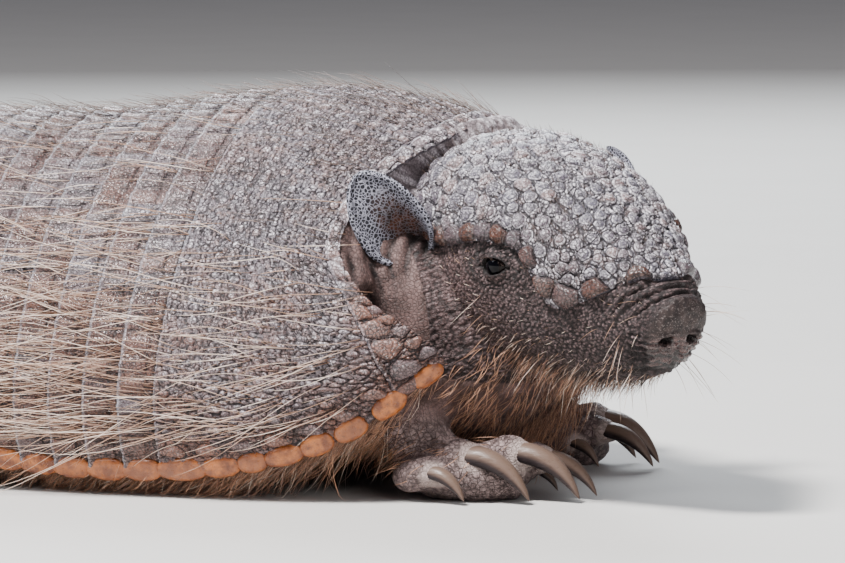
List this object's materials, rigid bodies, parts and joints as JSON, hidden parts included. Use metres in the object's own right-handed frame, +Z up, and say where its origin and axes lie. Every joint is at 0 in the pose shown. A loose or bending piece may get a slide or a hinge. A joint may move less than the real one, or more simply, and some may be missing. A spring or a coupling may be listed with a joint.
{
  "type": "large hairy armadillo model",
  "caption": "Life-size still model of a hairy armadillo standing low, its head turned to its right and its tail on the floor.",
  "frame": {"origin": "middle of the model's box, on the floor it stands on", "axes": "+X forward along the body, +Y to the animal's left, +Z up"},
  "size_m": [0.4578, 0.1666, 0.1085],
  "materials": {
    "shell_horn": "dry grey-tan horn scutes with pale rims and dark seams, orange along the hem",
    "shield_horn": "dry grey horn scutes with pale rims, pinkish brown along the brow",
    "face_skin": "dark wrinkled hide, pinkish brown cheek and nose",
    "ear_skin": "thin grey hide with small dark scales in a pale net, brown inside",
    "foot_skin": "pinkish grey hide with small scales",
    "tail_skin": "ringed scales with sparse bristles",
    "coat": "long coarse cream and brown hair over dark skin",
    "claw_horn": "polished dark horn with pale tips",
    "eye_gloss": "wet black"
  },
  "bodies": {
    "root": {"band_1": "shell_horn", "band_2": "shell_horn", "band_3": "shell_horn", "band_4": "shell_horn", "band_5": "shell_horn", "band_6": "shell_horn", "band_7": "shell_horn", "band_8": "shell_horn", "ear_left": "ear_skin", "ear_right": "ear_skin", "eye_left": "eye_gloss", "eye_right": "eye_gloss", "fore_claw_left_1": "claw_horn", "fore_claw_left_2": "claw_horn", "fore_claw_left_3": "claw_horn", "fore_claw_left_4": "claw_horn", "fore_claw_left_5": "claw_horn", "fore_claw_right_1": "claw_horn", "fore_claw_right_2": "claw_horn", "fore_claw_right_3": "claw_horn", "fore_claw_right_4": "claw_horn", "fore_claw_right_5": "claw_horn", "fore_leg_left": "coat", "fore_leg_right": "coat", "forefoot_left": "foot_skin", "forefoot_right": "foot_skin", "head": "face_skin", "head_shield": "shield_horn", "hind_claw_left_1": "claw_horn", "hind_claw_left_2": "claw_horn", "hind_claw_left_3": "claw_horn", "hind_claw_left_4": "claw_horn", "hind_claw_left_5": "claw_horn", "hind_claw_right_1": "claw_horn", "hind_claw_right_2": "claw_horn", "hind_claw_right_3": "claw_horn", "hind_claw_right_4": "claw_horn", "hind_claw_right_5": "claw_horn", "hind_leg_left": "coat", "hind_leg_right": "coat", "hindfoot_left": "foot_skin", "hindfoot_right": "foot_skin", "neck": "coat", "nuchal_band": "shell_horn", "pelvic_shield": "shell_horn", "scapular_shield": "shell_horn", "tail_base": "tail_skin", "tail_middle": "tail_skin", "tail_tip": "tail_skin", "trunk": "coat"}
  },
  "joints": []
}
